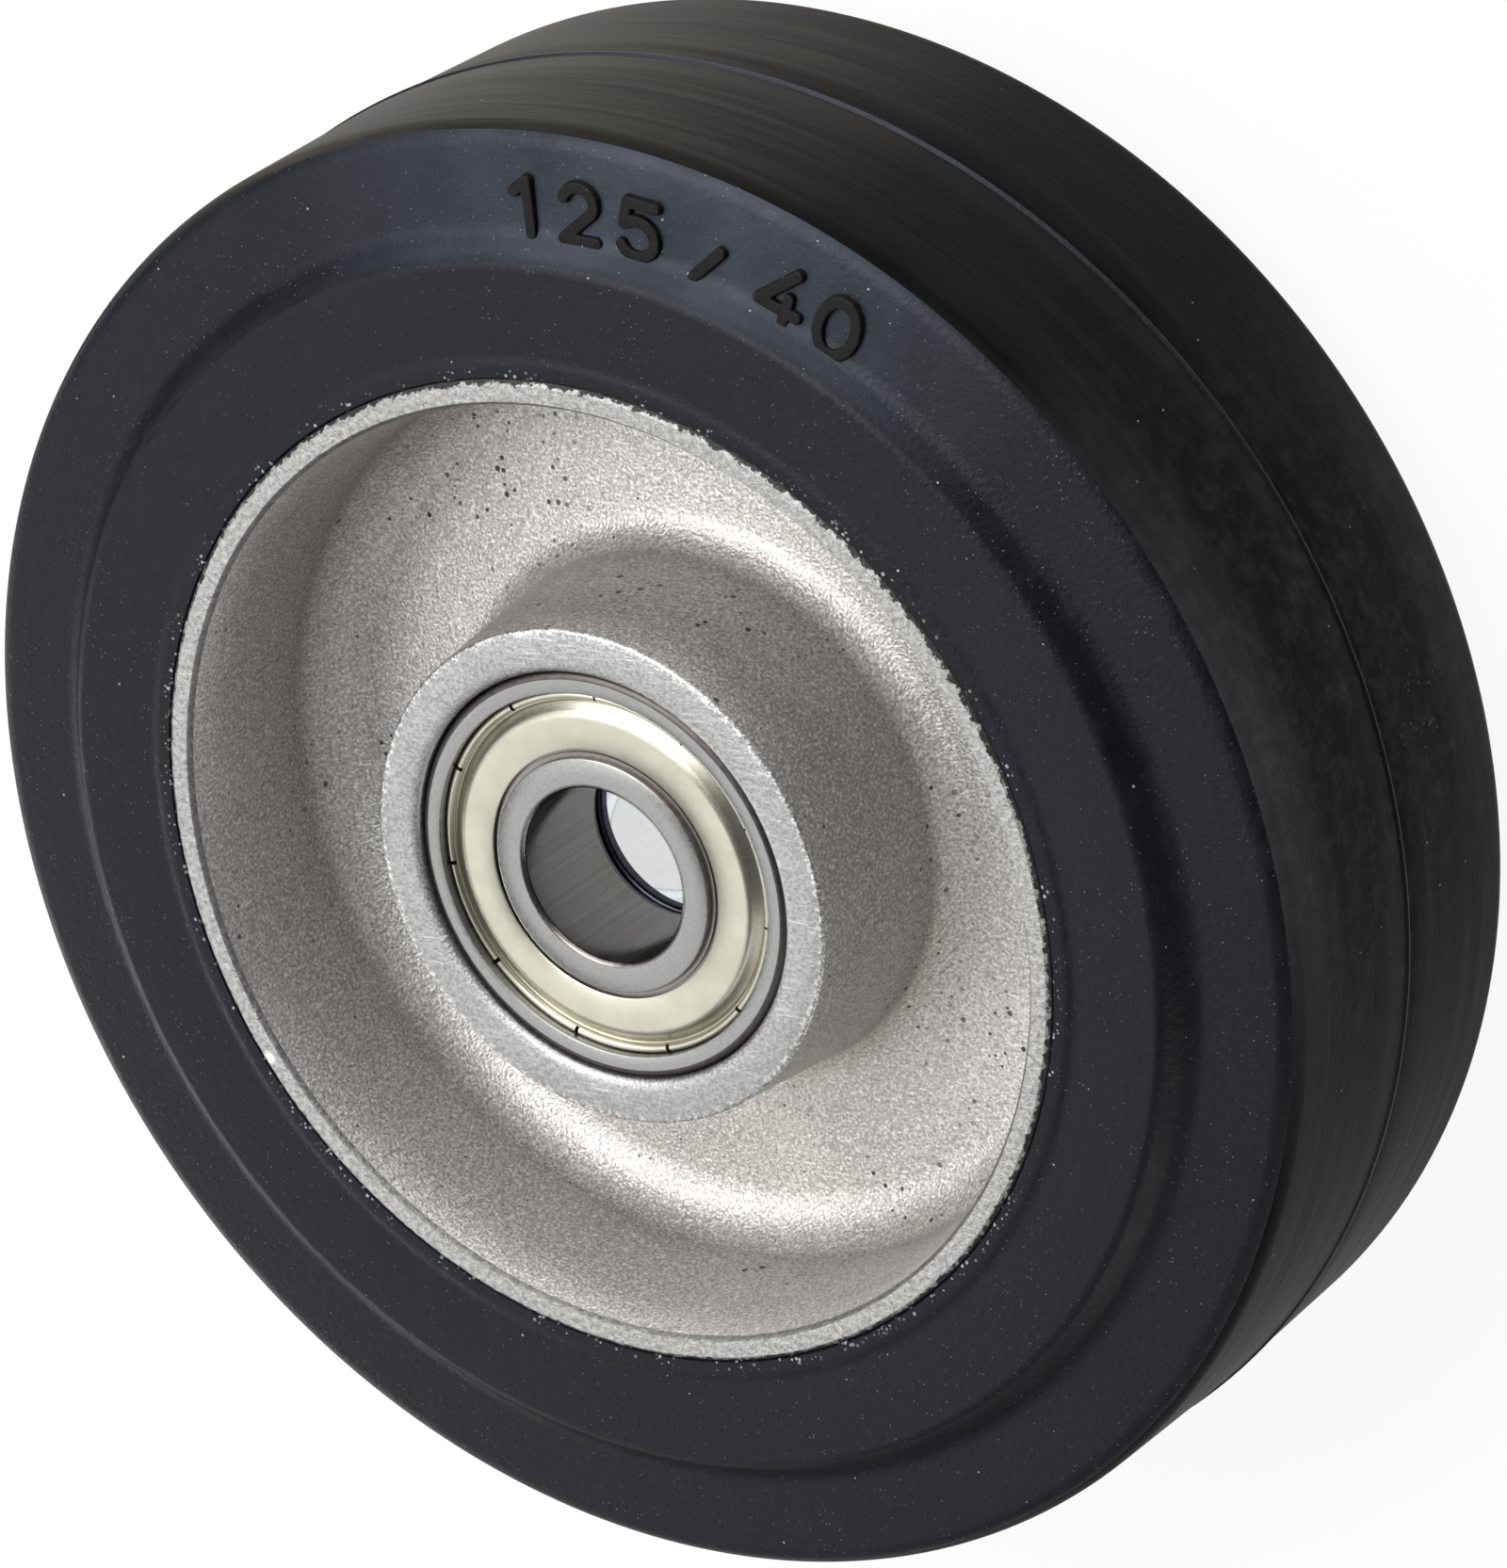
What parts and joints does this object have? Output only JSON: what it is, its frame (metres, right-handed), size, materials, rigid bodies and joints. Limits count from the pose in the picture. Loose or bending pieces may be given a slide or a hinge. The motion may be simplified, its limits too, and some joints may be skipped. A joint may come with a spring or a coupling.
{
  "type": "rubber-tyred wheel",
  "caption": "Wheel with a rubber tyre bonded to a dished aluminium casting, running on shielded ball bearings with a spacer sleeve between their inner rings.",
  "frame": {"origin": "middle of the wheel, on its axis and midway between the rim's two lips", "axes": "+Z along the wheel's axis, out of the side that carries the size mark; +X to the right and +Y to the top of that side as the picture shows it. The wheel lies flat on its other side."},
  "size_m": [0.125, 0.125, 0.04],
  "materials": {
    "black_rubber": "matt moulded black rubber",
    "cast_aluminium": "blasted die casting with turned faces",
    "ground_bearing_steel": "ground",
    "yellow_passivated_zinc": "pale yellow passivated zinc on pressed sheet",
    "pressed_steel": "bare pressed sheet",
    "polished_steel": "polished",
    "bright_zinc_plate": "bright zinc plate"
  },
  "bodies": {
    "wheel": {"rubber_tyre": "black_rubber", "wheel_centre": "cast_aluminium", "front_outer_ring": "ground_bearing_steel", "rear_outer_ring": "ground_bearing_steel", "front_outboard_shield": "yellow_passivated_zinc", "front_inboard_shield": "yellow_passivated_zinc", "rear_outboard_shield": "yellow_passivated_zinc", "rear_inboard_shield": "yellow_passivated_zinc"},
    "inner_rings": {"front_inner_ring": "ground_bearing_steel", "rear_inner_ring": "ground_bearing_steel", "spacer_sleeve": "bright_zinc_plate"},
    "front_balls": {"front_cage_outboard_half": "pressed_steel", "front_cage_inboard_half": "pressed_steel", "front_ball_1": "polished_steel", "front_ball_2": "polished_steel", "front_ball_3": "polished_steel", "front_ball_4": "polished_steel", "front_ball_5": "polished_steel", "front_ball_6": "polished_steel", "front_ball_7": "polished_steel", "front_ball_8": "polished_steel"},
    "rear_balls": {"rear_cage_outboard_half": "pressed_steel", "rear_cage_inboard_half": "pressed_steel", "rear_ball_1": "polished_steel", "rear_ball_2": "polished_steel", "rear_ball_3": "polished_steel", "rear_ball_4": "polished_steel", "rear_ball_5": "polished_steel", "rear_ball_6": "polished_steel", "rear_ball_7": "polished_steel", "rear_ball_8": "polished_steel"}
  },
  "joints": [
    {"name": "axle_spin", "type": "hinge", "parent": "wheel", "child": "inner_rings", "pos_m": [0, 0, 0], "axis": [0, 0, 1], "continuous": true},
    {"name": "front_cage_spin", "type": "hinge", "parent": "wheel", "child": "front_balls", "pos_m": [0, 0, 0.01365], "axis": [0, 0, 1], "continuous": true},
    {"name": "rear_cage_spin", "type": "hinge", "parent": "wheel", "child": "rear_balls", "pos_m": [0, 0, -0.01365], "axis": [0, 0, 1], "continuous": true}
  ],
  "couplings": [
    {"joint": "front_cage_spin", "follows": "axle_spin", "ratio": 0.3809},
    {"joint": "rear_cage_spin", "follows": "axle_spin", "ratio": 0.3809}
  ]
}
